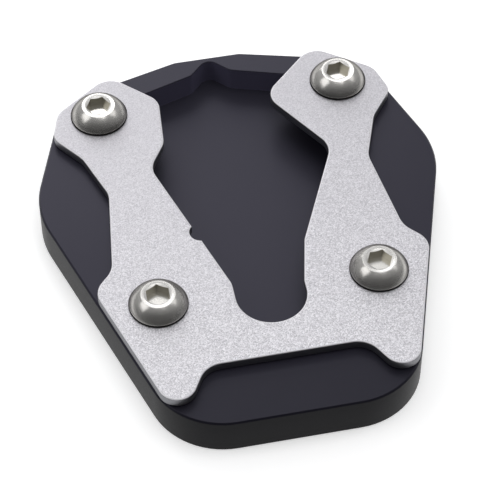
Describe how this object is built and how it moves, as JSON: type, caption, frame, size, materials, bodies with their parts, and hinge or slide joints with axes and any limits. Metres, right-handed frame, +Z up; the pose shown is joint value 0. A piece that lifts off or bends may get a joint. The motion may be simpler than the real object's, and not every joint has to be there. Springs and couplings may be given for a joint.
{
  "type": "side stand foot enlarger",
  "caption": "Foot enlarger for a side stand: a milled base plate whose pocket takes the stand's foot, trapped under a slotted clamp plate by button head screws.",
  "frame": {"origin": "middle of the sole, on the plane that the sole rests on", "axes": "+Z up through the plates, -Y towards the straight front edge, +Y towards the open end of the slot"},
  "size_m": [0.0736, 0.085, 0.0124],
  "materials": {
    "black_anodised": "black anodised, satin, with a bevelled edge",
    "silver_anodised": "fine bead blasted, clear anodised",
    "stainless": "bright turned stainless steel"
  },
  "bodies": {
    "root": {"base_plate": "black_anodised", "clamp_plate": "silver_anodised", "screw_front_left": "stainless", "screw_front_right": "stainless", "screw_rear_left": "stainless", "screw_rear_right": "stainless"}
  },
  "joints": []
}
